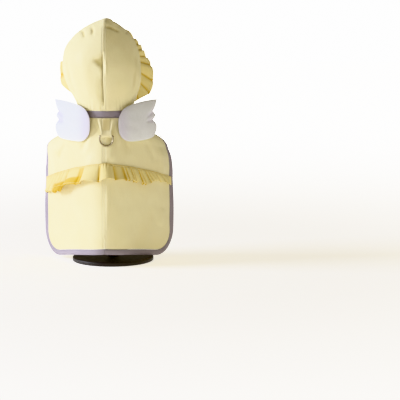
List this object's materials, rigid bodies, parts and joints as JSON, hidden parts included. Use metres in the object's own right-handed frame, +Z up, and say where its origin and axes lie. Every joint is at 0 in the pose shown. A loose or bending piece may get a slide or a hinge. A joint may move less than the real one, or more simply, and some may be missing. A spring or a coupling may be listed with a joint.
{
  "type": "dog raincoat on dress form",
  "caption": "Hooded cape raincoat for a small dog with ruffled hood and back, padded wings and a leash ring, resting on a limbless dress form with a round base.",
  "frame": {"origin": "centre of the round base, on the surface that it stands on", "axes": "+Z up; -Y towards the coat's back, the side in the main view; +X to the right of that view"},
  "size_m": [0.2374, 0.1695, 0.4309],
  "materials": {
    "cloth": "matt coated rain cloth, pale cream",
    "ruffle": "matt coated rain cloth, warm cream-yellow",
    "binding": "matt bias tape, grey-lilac",
    "wing": "soft padded cloth, white",
    "metal": "satin, pale warm metal",
    "form": "matt off-white",
    "stand": "satin near-black brown"
  },
  "bodies": {
    "coat_on_form": {"cape_panel_right": "cloth", "cape_panel_left": "cloth", "edge_binding_right": "binding", "edge_binding_left": "binding", "collar_binding": "binding", "hood_right": "cloth", "hood_left": "cloth", "back_ruffle": "ruffle", "hood_ruffle": "ruffle", "wing_right": "wing", "wing_left": "wing", "ring_tab": "cloth", "snap_cap": "metal", "snap_socket": "metal", "snap_stud": "metal", "snap_plate": "metal", "dress_form": "form", "post": "stand", "base_disc": "stand"},
    "ring": {"d_ring": "metal"}
  },
  "joints": [
    {"name": "ring_swing", "type": "hinge", "parent": "coat_on_form", "child": "ring", "pos_m": [-0.006, -0.06914, 0.23], "axis": [-1, 0, 0], "range_deg": [0, 140]}
  ]
}
